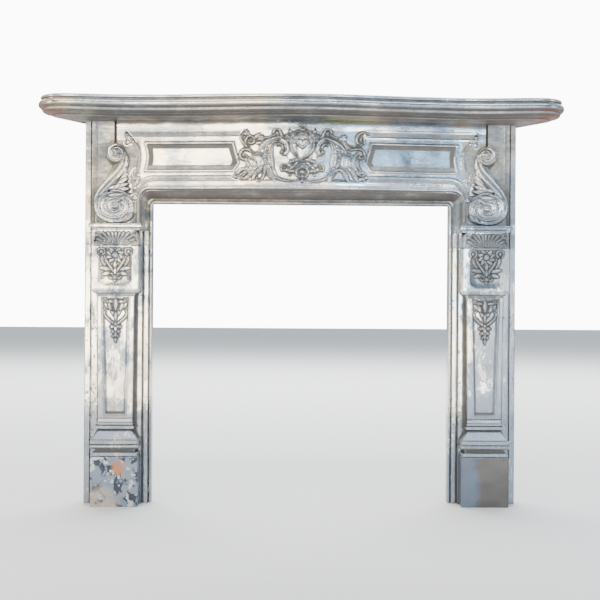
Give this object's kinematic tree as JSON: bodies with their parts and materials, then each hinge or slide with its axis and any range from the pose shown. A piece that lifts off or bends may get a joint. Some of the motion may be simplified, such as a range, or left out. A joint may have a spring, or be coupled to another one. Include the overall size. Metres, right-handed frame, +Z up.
{
  "type": "fireplace surround",
  "caption": "Cast-iron rococo fireplace surround: serpentine moulded shelf, bowed frieze with carved cartouche and scroll consoles, panelled jambs on plinths.",
  "frame": {"origin": "on the floor, under the middle of the whole object's box", "axes": "+X to the viewer's right along the shelf, +Y back towards the wall, +Z up; the carved front faces -Y"},
  "size_m": [1.572, 0.232, 1.225],
  "materials": {
    "burnished_iron": "burnished bright with grime in the hollows and a brown oxide on the undersides"
  },
  "bodies": {
    "root": {"mantel_shelf": "burnished_iron", "frieze": "burnished_iron", "left_jamb": "burnished_iron", "right_jamb": "burnished_iron"}
  },
  "joints": []
}
